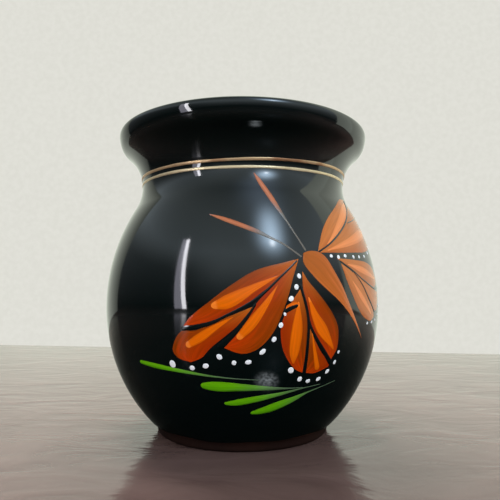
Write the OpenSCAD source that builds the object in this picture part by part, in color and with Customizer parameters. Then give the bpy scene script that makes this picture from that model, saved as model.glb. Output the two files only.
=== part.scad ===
// Jarrito: a round-bellied clay mug with a drawn-in neck, a flared collar and a strap handle.
// A black coat covers the outside, a clear glaze the inside, and two gold lines ring the neck.
// Millimetres, +Z up. The origin is the centre of the face that the mug rests on.
// The belly is pressed in two halves, and their seam lies in the plane X = 0, through the handle.

/* [Belly] */
// Radius of the belly at its widest
belly_r = 48; // [45:0.5:52]
// Height of the widest place
belly_z = 43.5; // [38:0.5:48]
// How far the lower edge of the belly lies inside its widest place
base_in = 16.4; // [12:0.2:21]
// Thickness of the wall with the coats on both sides
wall = 4.5; // [3.5:0.1:5.5]
// Thickness of the floor with its glaze
floor_t = 5; // [3.5:0.5:8]

/* [Neck and collar] */
// How far the neck is drawn in from the belly at its narrowest
neck_in = 11.4; // [8:0.2:15]
// Height of the narrowest place above the widest place of the belly
shoulder_h = 40.9; // [34:0.1:48]
// How far the seam between belly and collar lies below the narrowest place
seam_drop = 5.4; // [1:0.1:10]
// How far the lip stands out from the neck at its widest
lip_out = 8; // [6.4:0.1:9.6]
// Height of the widest place of the lip above the narrowest place of the neck
collar_h = 16.6; // [13.6:0.1:20]
// Radius of the curve under the lip, which runs into the hollow curve of the neck
lip_under = 5.6; // [4:0.1:8]
// Radius of the round outer edge of the lip
lip_nose = 4.2; // [3.4:0.1:5]
// Radius of the round inner edge of the lip
lip_in = 3.1; // [2.4:0.1:3.4]
// Radius of the curve inside the mouth, below the lip
mouth_hollow = 8; // [4:0.5:12]

/* [Foot] */
// How far the foot ring is set in from the lower edge of the belly
foot_in = 1.6; // [0.8:0.1:4]
// Height of the foot ring
foot_h = 3.4; // [2:0.2:5]
// Width of the foot ring
foot_w = 8; // [5:0.5:12]
// Radius of the worn lower edges of the foot ring
foot_edge = 1; // [0.5:0.1:1.8]

/* [Handle] */
// Width of the strap
strap_w = 15; // [11:0.5:20]
// Thickness of the strap
strap_t = 8; // [6:0.5:10]
// Radius of the ring that the strap is bent to, at the middle of the strap
ring_r = 23.5; // [20:0.5:27]
// How far the top of the ring lies below the widest place of the lip
ring_drop = 4; // [2:0.5:9]
// How far the centre of the ring lies inside the widest place of the belly
ring_in = 2; // [0:0.5:6]

/* [Coats and lines] */
// Thickness of the black coat and of the glaze
coat_t = 0.4; // [0.3:0.05:0.6]
// How far down inside the mouth the black coat reaches, from the top
coat_in = 9; // [7:0.5:14]
// Thickness of the gold lines
gold_t = 0.15; // [0.1:0.05:0.3]
// Width of each gold line
gold_w = 1.1; // [0.7:0.1:1.5]
// Gap between the underside of the strap, where it comes to the neck, and the upper gold line
gold_gap = 2; // [0.5:0.1:4]
// Step from the upper gold line down to the lower one
gold_step = 2.3; // [1.6:0.1:4]

/* [Hidden] */
$fn = 144;

terracotta = "#a65a33";
bare_clay = "#8f4a2c";
black_coat = "#0c0e0d";
clear_glaze = "#8a4622";
gold_paint = "#c8a35e";

// Radius of an arc that is upright at one end and leaves that upright by dr over a height of dz
function upright_arc(dr, dz) = (dr * dr + dz * dz) / (2 * dr);

// Radii of the lower edge of the belly, of the neck and of the lip
base_r = belly_r - base_in;
neck_r = belly_r - neck_in;
lip_r = neck_r + lip_out;

// Heights of the narrowest place of the neck, of the seam below it and of the widest place of the lip
neck_z = belly_z + shoulder_h;
seam_z = neck_z - seam_drop;
lip_z = neck_z + collar_h;

// The outside is a chain of arcs that run into each other: lower belly, shoulder, neck and lip
lower_arc = upright_arc(base_in, belly_z - foot_h);
neck_hollow = upright_arc(lip_out, collar_h) - lip_under;
shoulder_arc = upright_arc(neck_in, shoulder_h) - neck_hollow;

// The crest of the lip, where its round outer edge meets the smaller round inside it
crest_r = lip_r - lip_nose;
crest_z = lip_z + lip_nose;

// The mouth: the neck's curve carried through the wall, then a curve that ends upright
mouth_r = crest_r - lip_in;
mouth_flare = mouth_r - (neck_r - wall);
mouth_arcs = neck_hollow + wall + mouth_hollow;
mouth_z = neck_z + sqrt(mouth_flare * (2 * mouth_arcs - mouth_flare));

foot_r = base_r - foot_in;
floor_z = foot_h + floor_t;
coat_in_z = crest_z - coat_in;
outside = 2 * belly_r;
above = 2 * crest_z;

// Heights at which one arc runs into the next, for an outline moved inwards by inset
function shoulder_end(inset) =
    belly_z + (shoulder_arc - inset) / (shoulder_arc + neck_hollow) * shoulder_h;
function neck_end(inset) =
    neck_z + (neck_hollow + inset) / (neck_hollow + lip_under) * collar_h;
function mouth_start(film) =
    neck_z + (neck_hollow + wall - film) / mouth_arcs * (mouth_z - neck_z);

// Centre of the ring of the handle, behind the axis
ring_y = belly_r - ring_in;
ring_z = lip_z - ring_drop - ring_r;

// The gold lines run round the neck below the underside of the strap
strap_under_r = ring_r - strap_t / 2 - coat_t;
strap_under_z = ring_z + sqrt(pow(strap_under_r, 2) - pow(ring_y - neck_r, 2));
gold_upper_z = strap_under_z - gold_gap - gold_w / 2;

// Strip of the half section between two heights
module strip(z0, z1) {
    translate([0, z0]) square([outside, z1 - z0]);
}

// Filled band of the half section between two heights, bounded by an arc that bulges outwards.
// An arc too small to reach the axis takes a core of its own.
module bulging_band(z0, z1, centre, radius, core = 0) {
    intersection() {
        strip(z0, z1);
        union() {
            translate(centre) circle(r = radius);
            if (core > 0) square([core, above]);
        }
    }
}

// Filled band of the half section between two heights, bounded by the hollow curve of the neck
module neck_band(z0, z1, inset) {
    difference() {
        intersection() {
            strip(z0, z1);
            square([neck_r + neck_hollow, above]);
        }
        translate([neck_r + neck_hollow, neck_z]) circle(r = neck_hollow + inset);
    }
}

// Belly and neck from z0 to z1 as a filled half section, moved inwards by inset.
// The bulging bands run on behind the hollow of the neck, so that each band overlaps the next.
module belly_outline(inset, z0, z1) {
    bulging_band(z0, belly_z, [belly_r - lower_arc, belly_z], lower_arc - inset);
    bulging_band(belly_z, neck_z, [belly_r - shoulder_arc, belly_z], shoulder_arc - inset);
    neck_band(shoulder_end(inset), z1, inset);
}

// Rounded top of the lip, from its widest place up
module lip_crest(inset) {
    intersection() {
        translate([crest_r, lip_z]) square(lip_nose);
        translate([crest_r, lip_z]) circle(r = lip_nose - inset);
    }
    translate([0, lip_z]) square([crest_r, lip_nose - lip_in]);
    intersection() {
        translate([mouth_r, crest_z - lip_in]) square(lip_in);
        translate([crest_r, crest_z - lip_in]) circle(r = lip_in - inset);
    }
}

// Whole mug as a filled half section, moved inwards by inset
module outer_outline(inset) {
    belly_outline(inset, foot_h, neck_end(inset));
    bulging_band(neck_z, lip_z, [lip_r - lip_under, lip_z], lip_under - inset, neck_r - inset);
    lip_crest(inset);
}

// Hollow of the mug as a half section, made larger by film
module hollow(film) {
    core = neck_r - wall + film;
    belly_outline(wall - film, floor_z - film, mouth_start(film));
    bulging_band(neck_z, above, [mouth_r - mouth_hollow, mouth_z], mouth_hollow + film, core);
    translate([0, mouth_z]) square([mouth_r + film, above - mouth_z]);
}

// Half section of the clay wall between two heights
module clay_section(z0, z1) {
    intersection() {
        strip(z0, z1);
        difference() {
            outer_outline(coat_t);
            hollow(coat_t);
        }
    }
}

// Half section of everything laid over the clay, outside and inside
module coat_section() {
    difference() {
        outer_outline(0);
        hollow(0);
        clay_section(foot_h, crest_z);
    }
}

// Part of the half section that the glaze takes up, below the black coat inside the mouth
module glazed_zone() {
    intersection() {
        strip(0, coat_in_z);
        hollow(coat_t);
    }
}

// Section of the strap, grown outwards by grow, with its width along the second axis
module strap_section(grow) {
    square([strap_t + 2 * grow, strap_w - strap_t], center = true);
    for (side = [-1, 1])
        translate([0, side * (strap_w - strap_t) / 2]) circle(d = strap_t + 2 * grow);
}

// A section carried round the whole ring of the handle, part of which lies inside the body
module handle_ring() {
    translate([0, ring_y, ring_z])
        rotate([0, 90, 0]) rotate_extrude() translate([ring_r, 0]) children();
}

// Half of the belly, on the side of the seam that turn gives
module belly_half(turn) {
    rotate([0, 0, turn]) rotate_extrude(angle = 180) clay_section(foot_h, seam_z);
}

// Gold line whose middle is at height z on the neck
module gold_line(z) {
    color(gold_paint)
        rotate_extrude()
            intersection() {
                strip(z - gold_w / 2, z + gold_w / 2);
                difference() {
                    belly_outline(-gold_t, foot_h, neck_end(-gold_t));
                    belly_outline(0, foot_h, neck_end(0));
                }
            }
}

module belly_left_half() {
    color(terracotta) belly_half(90);
}

module belly_right_half() {
    color(terracotta) belly_half(-90);
}

module neck_collar() {
    color(terracotta) rotate_extrude() clay_section(seam_z, crest_z);
}

module foot_ring() {
    inner_r = foot_r - foot_w;
    color(bare_clay)
        rotate_extrude() {
            translate([inner_r, foot_edge]) square([foot_w, foot_h - foot_edge]);
            translate([inner_r + foot_edge, 0]) square([foot_w - 2 * foot_edge, foot_edge]);
            for (r = [inner_r + foot_edge, foot_r - foot_edge])
                translate([r, foot_edge]) circle(r = foot_edge);
        }
}

// The strap meets the clay of the body
module handle() {
    color(terracotta)
        difference() {
            handle_ring() strap_section(0);
            rotate_extrude() outer_outline(coat_t);
        }
}

// The strap passes through the coat, so that clay meets clay
module enamel_body() {
    color(black_coat)
        difference() {
            rotate_extrude()
                difference() {
                    coat_section();
                    glazed_zone();
                }
            handle_ring() strap_section(0);
        }
}

// The coat of the strap ends on the coat of the body
module enamel_handle() {
    color(black_coat)
        difference() {
            handle_ring()
                difference() {
                    strap_section(coat_t);
                    strap_section(0);
                }
            rotate_extrude() outer_outline(0);
        }
}

module glaze_liner() {
    color(clear_glaze)
        rotate_extrude()
            intersection() {
                coat_section();
                glazed_zone();
            }
}

module gold_band_upper() {
    gold_line(gold_upper_z);
}

module gold_band_lower() {
    gold_line(gold_upper_z - gold_step);
}

belly_left_half();
belly_right_half();
neck_collar();
foot_ring();
handle();
enamel_body();
enamel_handle();
glaze_liner();
gold_band_upper();
gold_band_lower();
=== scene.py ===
import math

import bpy
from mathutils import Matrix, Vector


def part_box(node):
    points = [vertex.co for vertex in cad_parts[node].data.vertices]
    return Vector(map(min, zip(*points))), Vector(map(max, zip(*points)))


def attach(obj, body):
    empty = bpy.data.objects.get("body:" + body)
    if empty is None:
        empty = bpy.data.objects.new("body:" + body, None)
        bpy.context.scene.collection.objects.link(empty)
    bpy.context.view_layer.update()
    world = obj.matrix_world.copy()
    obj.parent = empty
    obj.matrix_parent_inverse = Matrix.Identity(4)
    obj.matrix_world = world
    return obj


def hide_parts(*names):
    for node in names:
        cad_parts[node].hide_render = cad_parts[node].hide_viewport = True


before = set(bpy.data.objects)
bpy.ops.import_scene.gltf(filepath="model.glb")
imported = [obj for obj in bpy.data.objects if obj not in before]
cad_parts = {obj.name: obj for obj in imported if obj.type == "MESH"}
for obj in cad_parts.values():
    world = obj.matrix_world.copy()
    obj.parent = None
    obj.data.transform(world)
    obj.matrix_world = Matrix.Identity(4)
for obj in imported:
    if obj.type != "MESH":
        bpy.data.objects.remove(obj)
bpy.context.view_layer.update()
mm = 0.001
mergeGap = 0.002 * mm    # points closer than this are one
scene = bpy.context.scene
scene.view_settings.view_transform = "Standard"
print("frame loaded,", len(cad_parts), "CAD nodes")

# camera, at the photograph's place
photoCamera = {
    "lens": 35.08,
    "sensor": 36.0,
    "nearest": 0.005,
    "place": (0.0, -0.1791, 0.0483),
    "tiltUp": 0.0823,    # radians
    "turn": -0.0148,
}
cameraData = bpy.data.cameras.new("photoCamera")
cameraData.lens = photoCamera["lens"]
cameraData.sensor_width = photoCamera["sensor"]
cameraData.clip_start = photoCamera["nearest"]
cameraObject = bpy.data.objects.new("photoCamera", cameraData)
cameraObject.location = photoCamera["place"]
cameraObject.rotation_euler = (math.pi / 2 + photoCamera["tiltUp"], 0.0, photoCamera["turn"])
scene.collection.objects.link(cameraObject)
scene.camera = cameraObject
print("camera placed")


# small helpers for modelling by hand
def deselectAll():
    if bpy.context.object and bpy.context.object.mode != "OBJECT":
        bpy.ops.object.mode_set(mode="OBJECT")
    bpy.ops.object.select_all(action="DESELECT")


def pickPiece(piece):
    deselectAll()
    piece.select_set(True)
    bpy.context.view_layer.objects.active = piece


def namePiece(piece, name):
    piece.name = name
    piece.data.name = name


def applyModifier(piece, modifier):
    pickPiece(piece)
    bpy.ops.object.modifier_apply(modifier=modifier.name)


def thicken(piece, thickness):
    wall = piece.modifiers.new("wall", "SOLIDIFY")
    wall.thickness = thickness
    wall.offset = -1.0
    wall.use_even_offset = True
    applyModifier(piece, wall)


def smoothPiece(piece, angle=60.0):
    pickPiece(piece)
    bpy.ops.object.shade_smooth_by_angle(angle=math.radians(angle))


def cleanMesh(piece, outward):
    # merge what meets, then turn the faces so that the outward test is positive
    pickPiece(piece)
    bpy.ops.object.mode_set(mode="EDIT")
    bpy.ops.mesh.select_all(action="SELECT")
    bpy.ops.mesh.remove_doubles(threshold=mergeGap)
    bpy.ops.mesh.normals_make_consistent(inside=False)
    bpy.ops.object.mode_set(mode="OBJECT")
    facing = sum(face.area * face.normal.dot(outward(face.center)) for face in piece.data.polygons)
    if facing < 0:
        bpy.ops.object.mode_set(mode="EDIT")
        bpy.ops.mesh.select_all(action="SELECT")
        bpy.ops.mesh.flip_normals()
        bpy.ops.object.mode_set(mode="OBJECT")


def fromAxis(point):
    return Vector((point.x, point.y, 0.0))


def turnOf(point):
    # turn 0 faces the camera, plus goes to its right
    return math.atan2(point.x, -point.y)


def moveOut(vertex, distance):
    reach = math.hypot(vertex.co.x, vertex.co.y)
    grow = (reach + distance) / reach
    vertex.co.x *= grow
    vertex.co.y *= grow


def spinOutline(name, outline, steps, closed=False):
    # one vertex is drawn along the outline, and the line is spun round the axis
    deselectAll()
    bpy.ops.mesh.primitive_plane_add(size=1 * mm, location=(0, 0, 0))
    piece = bpy.context.object
    namePiece(piece, name)
    bpy.ops.object.mode_set(mode="EDIT")
    bpy.ops.mesh.select_mode(type="VERT")
    bpy.ops.mesh.select_all(action="SELECT")
    bpy.ops.mesh.merge(type="CENTER")
    bpy.ops.transform.translate(value=(outline[0][0], 0, outline[0][1]))
    path = list(outline) + ([outline[0]] if closed else [])
    for start, end in zip(path, path[1:]):
        step = (end[0] - start[0], 0, end[1] - start[1])
        bpy.ops.mesh.extrude_vertices_move(TRANSFORM_OT_translate={"value": step})
    bpy.ops.mesh.select_all(action="SELECT")
    bpy.ops.mesh.spin(steps=steps, angle=2 * math.pi, center=(0, 0, 0), axis=(0, 0, 1))
    bpy.ops.object.mode_set(mode="OBJECT")
    return piece


def arcPoints(centre, radius, startDegrees, endDegrees, count):
    points = []
    for index in range(count + 1):
        angle = math.radians(startDegrees + (endDegrees - startDegrees) * index / count)
        points.append((centre[0] + radius * math.cos(angle), centre[1] + radius * math.sin(angle)))
    return points


# the mug's outline, from the same sizes as the CAD
coatLow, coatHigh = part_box("enamel_body")
mugShape = {
    "bellyRadius": coatHigh.x,
    "bellyHeight": 43.5 * mm,
    "baseIn": 16.4 * mm,
    "footHeight": coatLow.z,
    "wall": 4.5 * mm,
    "floorThick": 5.0 * mm,
    "neckIn": 11.4 * mm,
    "shoulderRise": 40.9 * mm,
    "lipOut": 8.0 * mm,
    "collarRise": 16.6 * mm,
    "lipUnder": 5.6 * mm,
    "lipNose": 4.2 * mm,
    "lipIn": 3.1 * mm,
    "mouthHollow": 8.0 * mm,
    "steepest": 0.98,    # share of an arc's radius past which its slope is held
}


def bendPoints(start, startPull, endPull, end, count):
    # a smooth bend from start to end, drawn toward the two pulls
    points = []
    for index in range(count + 1):
        share = index / count
        rest = 1 - share
        weights = (rest ** 3, 3 * rest * rest * share, 3 * rest * share * share, share ** 3)
        corners = (start, startPull, endPull, end)
        points.append(tuple(sum(w * c[axis] for w, c in zip(weights, corners)) for axis in (0, 1)))
    return points


def stepFrom(point, turnDegrees, length):
    # along the outline where it faces that many degrees above level
    turn = math.radians(turnDegrees)
    return point[0] - length * math.sin(turn), point[1] + length * math.cos(turn)


def uprightArc(inward, rise):
    # radius of an arc that starts upright and comes in that far by that rise
    return (inward * inward + rise * rise) / (2.0 * inward)


bellyRadius = mugShape["bellyRadius"]
bellyHeight = mugShape["bellyHeight"]
footHeight = mugShape["footHeight"]
wallThick = mugShape["wall"]
neckRadius = bellyRadius - mugShape["neckIn"]
neckHeight = bellyHeight + mugShape["shoulderRise"]
lipRadius = neckRadius + mugShape["lipOut"]
lipHeight = neckHeight + mugShape["collarRise"]
lowerArc = uprightArc(mugShape["baseIn"], bellyHeight - footHeight)
neckHollow = uprightArc(mugShape["lipOut"], mugShape["collarRise"]) - mugShape["lipUnder"]
shoulderArc = uprightArc(mugShape["neckIn"], mugShape["shoulderRise"]) - neckHollow
lowerCentre = (bellyRadius - lowerArc, bellyHeight)
shoulderCentre = (bellyRadius - shoulderArc, bellyHeight)
neckCentre = (neckRadius + neckHollow, neckHeight)
lipCentre = (lipRadius - mugShape["lipUnder"], lipHeight)
crestCentre = (lipRadius - mugShape["lipNose"], lipHeight)
crestTop = lipHeight + mugShape["lipNose"]
shoulderTurn = math.degrees(math.asin(mugShape["shoulderRise"] / (shoulderArc + neckHollow)))
neckTurn = math.degrees(math.asin(mugShape["collarRise"] / (neckHollow + mugShape["lipUnder"])))
baseTurn = math.degrees(math.asin((bellyHeight - footHeight) / lowerArc))
shoulderEnd = bellyHeight + shoulderArc * math.sin(math.radians(shoulderTurn))
neckEnd = neckHeight + neckHollow * math.sin(math.radians(neckTurn))


def outlineAt(up):
    # radius of the outside at a height, and how fast it changes with height
    if up < bellyHeight:
        centre, radius, side = lowerCentre, lowerArc, 1.0
    elif up < shoulderEnd:
        centre, radius, side = shoulderCentre, shoulderArc, 1.0
    elif up < neckEnd:
        centre, radius, side = neckCentre, neckHollow, -1.0
    else:
        centre, radius, side = lipCentre, mugShape["lipUnder"], 1.0
    rise = min(up - centre[1], radius * mugShape["steepest"])
    reach = math.sqrt(radius * radius - rise * rise)
    return centre[0] + side * reach, -side * rise / reach


handWork = {    # how far hand forming leaves the true round
    "inset": 0.15 * mm,
    "depth": 0.05 * mm,
    "waves": [(0.4, 2, 0, 0.6), (0.35, 5, 110, 1.1), (0.25, 9, -170, 2.0)],
    "neckRise": 2.2 * mm,    # the neck is turned a little higher at the front
    "riseFrom": (62.0 * mm, 82.0 * mm),
    "riseTo": (86.0 * mm, 99.0 * mm),
    "riseTurn": 0.15,
    "riseBlend": 0.05 * mm,
}


def easeBetween(value, start, end):
    share = max(0.0, min(1.0, (value - start) / (end - start)))
    return share * share * (3 - 2 * share)


def waveSum(waves, turn, along):
    # each wave has its share, its turns, how much of along it takes and its start
    return sum(share * math.sin(turns * turn + climb * along + start) for share, turns, climb, start in waves)


def handWobble(turn, up):
    waves = waveSum(handWork["waves"], turn, up)
    rise = handWork["neckRise"] * max(0.0, math.cos(turn - handWork["riseTurn"])) ** 2
    rise *= easeBetween(up, *handWork["riseFrom"]) * (1 - easeBetween(up, *handWork["riseTo"]))
    change = outlineAt(up - rise)[0] - outlineAt(up)[0]
    fuller = (change + math.hypot(change, handWork["riseBlend"]) - handWork["riseBlend"]) / 2
    return handWork["depth"] * waves - handWork["inset"] + fuller


def onBody(turn, up, lift=0.0):
    # a place on the black coat, or that far off it
    radius, slope = outlineAt(up)
    tilt = 1.0 / math.sqrt(1.0 + slope * slope)
    reach = radius + handWobble(turn, up) + lift * tilt
    return Vector((reach * math.sin(turn), -reach * math.cos(turn), up - lift * slope * tilt))


# black coat over the outside, over the lip and a little way down inside
bodyCoat = {
    "steps": 176,
    "bodyPoints": (40, 30, 28, 8),    # on the lower belly, shoulder, neck and under the lip
    "lipPoints": (18, 8, 10, 8),    # up the lip's side, over its edge, inward and down the mouth
    "thick": 0.15 * mm,
    "insideReach": 9.0 * mm,
    "edgeBand": 0.05 * mm,
    "edgeWaver": 0.18 * mm,    # the lower edge of the coat isn't even
    "edgeWaves": (7, 3),
    "rimDip": 0.25 * mm,    # the rim lies a little lower at the front left
    "dipTurn": -0.6,
    "dipFrom": -4.0 * mm,    # from the middle of the lip
    "dipTo": 1.0 * mm,
    "flankTurn": -16.0,
    "flankPull": 4.1 * mm,
    "edgeTurn": 67.0,
    "edgePull": 1.1 * mm,
    "edgeIn": 1.25 * mm,
    "edgeDrop": 1.05 * mm,
    "topPull": 0.9 * mm,
}
mouthRadius = crestCentre[0] - mugShape["lipIn"]
mouthArcs = neckHollow + wallThick + mugShape["mouthHollow"]
mouthSide = neckCentre[0] - (mouthRadius - mugShape["mouthHollow"])
mouthHeight = neckHeight + math.sqrt(mouthArcs * mouthArcs - mouthSide * mouthSide)
mouthCentre = (mouthRadius - mugShape["mouthHollow"], mouthHeight)
mouthTurn = math.degrees(math.asin((mouthHeight - neckHeight) / mouthArcs))
coatEnd = crestTop - bodyCoat["insideReach"]
coatEndTurn = math.degrees(math.asin((mouthHeight - coatEnd) / mugShape["mouthHollow"]))

flankTurn = bodyCoat["flankTurn"]
edgeTurn = bodyCoat["edgeTurn"]
flankPoint = arcPoints(lipCentre, mugShape["lipUnder"], flankTurn, flankTurn, 1)[0]
edgePoint = (lipRadius - bodyCoat["edgeIn"], crestTop - bodyCoat["edgeDrop"])
topPoint = (crestCentre[0], crestTop)
lowerPoints, shoulderPoints, neckPoints, underPoints = bodyCoat["bodyPoints"]
sidePoints, edgePoints, crestPoints, mouthPoints = bodyCoat["lipPoints"]
outsideOutline = arcPoints(lowerCentre, lowerArc, -baseTurn, 0, lowerPoints)
outsideOutline += arcPoints(shoulderCentre, shoulderArc, 0, shoulderTurn, shoulderPoints)[1:]
outsideOutline += arcPoints(neckCentre, neckHollow, 180 + shoulderTurn, 180 - neckTurn, neckPoints)[1:]
outsideOutline += arcPoints(lipCentre, mugShape["lipUnder"], -neckTurn, flankTurn, underPoints)[1:]
outsideOutline += bendPoints(
    flankPoint,
    stepFrom(flankPoint, flankTurn, bodyCoat["flankPull"]),
    stepFrom(edgePoint, edgeTurn, -bodyCoat["edgePull"]),
    edgePoint,
    sidePoints,
)[1:]
outsideOutline += bendPoints(
    edgePoint,
    stepFrom(edgePoint, edgeTurn, bodyCoat["edgePull"]),
    (topPoint[0] + bodyCoat["topPull"], topPoint[1]),
    topPoint,
    edgePoints,
)[1:]
innerCrest = (crestCentre[0], crestTop - mugShape["lipIn"])
coatOutline = outsideOutline + arcPoints(innerCrest, mugShape["lipIn"], 90, 180, crestPoints)[1:]
coatOutline += arcPoints(mouthCentre, mugShape["mouthHollow"], 0, -coatEndTurn, mouthPoints)
enamelCoat = spinOutline("enamel_coat", coatOutline, bodyCoat["steps"])
cleanMesh(enamelCoat, lambda point: fromAxis(point) if point.z < bellyHeight else Vector((0, 0, 0)))
for vertex in enamelCoat.data.vertices:
    turn = turnOf(vertex.co)
    if vertex.co.z < footHeight + bodyCoat["edgeBand"]:
        first, second = bodyCoat["edgeWaves"]
        vertex.co.z += bodyCoat["edgeWaver"] * (1 + math.sin(first * turn) * math.cos(second * turn + 1))
    dip = bodyCoat["rimDip"] * (0.5 + 0.5 * math.cos(turn - bodyCoat["dipTurn"]))
    dip *= easeBetween(vertex.co.z - lipHeight, bodyCoat["dipFrom"], bodyCoat["dipTo"])
    vertex.co.z -= dip
    moveOut(vertex, handWobble(turn, vertex.co.z))
thicken(enamelCoat, bodyCoat["thick"])
smoothPiece(enamelCoat)
print("black coat spun,", len(enamelCoat.data.polygons), "faces")

# black coat over the handle
handleStrap = {
    "ringCentre": (46.0 * mm, 73.5 * mm),
    "ringRadius": 23.5 * mm,
    "wide": 15.8 * mm,
    "thick": 8.8 * mm,
    "sectionPoints": 48,
    "fromDegrees": -135,
    "toDegrees": 155,
    "upperFillet": 1.7 * mm,
    "lowerFillet": 4.0 * mm,
    "sunk": 0.35 * mm,
    "cutterIn": 1.0 * mm,
    "dent": 0.105 * mm,    # thumb marks from forming, full at this far from the joints
    "dentFrom": 6.0 * mm,
    "dentEven": 1.6,
    "dentWaves": [(1.0, 3.1, 0, 0.7), (0.6, 7.3, 180, 0.0)],
}


def distanceToBody(point):
    reach = math.hypot(point.x, point.y)
    if point.z > lipHeight:
        return math.hypot(reach - crestCentre[0], point.z - crestCentre[1]) - mugShape["lipNose"]
    radius, slope = outlineAt(point.z)
    return (reach - radius) / math.sqrt(1.0 + slope * slope)


ringY, ringZ = handleStrap["ringCentre"]
ringRadius = handleStrap["ringRadius"]
flatHalf = (handleStrap["wide"] - handleStrap["thick"]) / 2
startTurn = math.radians(handleStrap["fromDegrees"])
deselectAll()
bpy.ops.mesh.primitive_circle_add(
    vertices=handleStrap["sectionPoints"], radius=handleStrap["thick"] / 2, location=(0, 0, 0)
)
handleCoat = bpy.context.object
namePiece(handleCoat, "handle_coat")
for vertex in handleCoat.data.vertices:    # circle to strap, stood up at the start of the ring
    across = vertex.co.x + math.copysign(flatHalf, vertex.co.x) if abs(vertex.co.x) > mergeGap else 0.0
    outward = ringRadius + vertex.co.y
    vertex.co = (across, ringY + outward * math.cos(startTurn), ringZ + outward * math.sin(startTurn))
pickPiece(handleCoat)
bpy.ops.object.mode_set(mode="EDIT")
bpy.ops.mesh.select_all(action="SELECT")
sweepDegrees = handleStrap["toDegrees"] - handleStrap["fromDegrees"]
bpy.ops.mesh.spin(
    steps=sweepDegrees, angle=math.radians(sweepDegrees), center=(0, ringY, ringZ), axis=(-1, 0, 0)
)
bpy.ops.mesh.select_all(action="SELECT")
bpy.ops.mesh.fill_holes(sides=0)
bpy.ops.object.mode_set(mode="OBJECT")
cleanMesh(handleCoat, lambda point: Vector((0, point.y - ringY, point.z - ringZ)))
for vertex in handleCoat.data.vertices:
    place = vertex.co.copy()
    spoke = Vector((0, place.y - ringY, place.z - ringZ))
    ringTurn = math.atan2(spoke.z, spoke.y)
    outward = spoke.normalized()
    side = place.x - max(-flatHalf, min(flatHalf, place.x))
    normal = (Vector((side, 0, 0)) + outward * (spoke.length - ringRadius)).normalized()
    fillet = handleStrap["upperFillet"] if ringTurn > 0 else handleStrap["lowerFillet"]
    gap = max(0.0, distanceToBody(place))
    if gap < fillet:
        vertex.co = place + normal * (fillet - math.sqrt(fillet * fillet - (fillet - gap) ** 2))
    else:
        dent = handleStrap["dentEven"] + waveSum(handleStrap["dentWaves"], ringTurn, place.x)
        dent *= handleStrap["dent"] * min(1, (gap - fillet) / handleStrap["dentFrom"])
        vertex.co = place - normal * dent

cutterOutline = [(0.0, footHeight)]
cutterOutline += [(radius - handleStrap["sunk"], up) for radius, up in outsideOutline[:-1]]
cutterOutline += [(crestCentre[0] - handleStrap["cutterIn"], crestTop), (0.0, crestTop)]
bodyCutter = spinOutline("bodyCutter", cutterOutline, bodyCoat["steps"])
cleanMesh(bodyCutter, fromAxis)
trim = handleCoat.modifiers.new("trim", "BOOLEAN")
trim.operation = "DIFFERENCE"
trim.solver = "EXACT"
trim.object = bodyCutter
applyModifier(handleCoat, trim)
bpy.data.objects.remove(bodyCutter, do_unlink=True)
smoothPiece(handleCoat, angle=50.0)
print("handle swept,", len(handleCoat.data.polygons), "faces")

# the two gold lines, drawn by hand with a brush
goldLines = {
    "upper": {"phase": 0.4, "thin": 0.88, "sideRise": 0.85 * mm, "lean": 0.8 * mm},
    "lower": {"phase": 2.3, "thin": 0.90, "sideRise": 0.7 * mm, "lean": 0.45 * mm},
    "rows": [-1.0, -0.92, -0.6, -0.2, 0.2, 0.6, 0.92, 1.0],    # from its lower edge to its upper one
    "thick": 0.12 * mm,
    "drop": 0.32 * mm,
    "fullness": 0.92,    # of the line's width, with the waves of the brush
    "widthWaves": [(0.05, 11, 1, 0.0), (0.03, 29, 0, 0.0)],
    "waver": 0.06 * mm,
    "waverWaves": [(1.0, 3, 1, 0.0), (0.4, 9, 0, 0.0)],
    "crown": 0.14 * mm,
    "edgeFall": 0.85,
    "steps": 240,
}


def drawGoldLine(which):
    values = goldLines[which]
    low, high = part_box("gold_band_" + which)
    middle = (low.z + high.z) / 2
    half = (high.z - low.z) / 2 * values["thin"]
    outline = [(outlineAt(middle)[0], middle + half * row) for row in goldLines["rows"]]
    line = spinOutline("gold_line_" + which, outline, goldLines["steps"])
    cleanMesh(line, fromAxis)
    for vertex in line.data.vertices:
        turn = turnOf(vertex.co)
        row = (vertex.co.z - middle) / half
        brush = goldLines["fullness"] + waveSum(goldLines["widthWaves"], turn, values["phase"])
        waver = goldLines["waver"] * waveSum(goldLines["waverWaves"], turn, values["phase"])
        waver += values["sideRise"] * math.sin(turn) ** 2 + values["lean"] * math.sin(turn)
        waver -= goldLines["drop"]
        lift = goldLines["crown"] * (1 - goldLines["edgeFall"] * row ** 4)
        vertex.co = onBody(turn, middle + row * half * brush + waver, lift)
    thicken(line, goldLines["thick"])
    smoothPiece(line)
    return line


goldUpper = drawGoldLine("upper")
goldLower = drawGoldLine("lower")
print("gold lines drawn")

# foot of bare clay
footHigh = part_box("foot_ring")[1]
clayFoot = {
    "outer": footHigh.x,
    "inner": 22.0 * mm,
    "height": footHigh.z,
    "edge": 1.2 * mm,
    "edgePoints": 6,
    "sideMiddle": 0.7,
    "steps": 160,
    "outOfRound": 0.1 * mm,
    "roundWaves": 5,
    "trimDepth": 0.12 * mm,    # marks of the trimming tool
    "trimTurns": 5200,
}
edge = clayFoot["edge"]
footOutline = [(clayFoot["inner"], clayFoot["height"])]
footOutline += arcPoints((clayFoot["inner"] + edge, edge), edge, 180, 270, clayFoot["edgePoints"])
footOutline += arcPoints((clayFoot["outer"] - edge, edge), edge, 270, 360, clayFoot["edgePoints"])
footOutline += [(clayFoot["outer"], clayFoot["height"] * share) for share in (clayFoot["sideMiddle"], 1.0)]
footRing = spinOutline("clay_foot", footOutline, clayFoot["steps"], closed=True)
cleanMesh(footRing, lambda point: Vector((0, 0, -1.0 if point.z < mergeGap else 0.0)))
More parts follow.
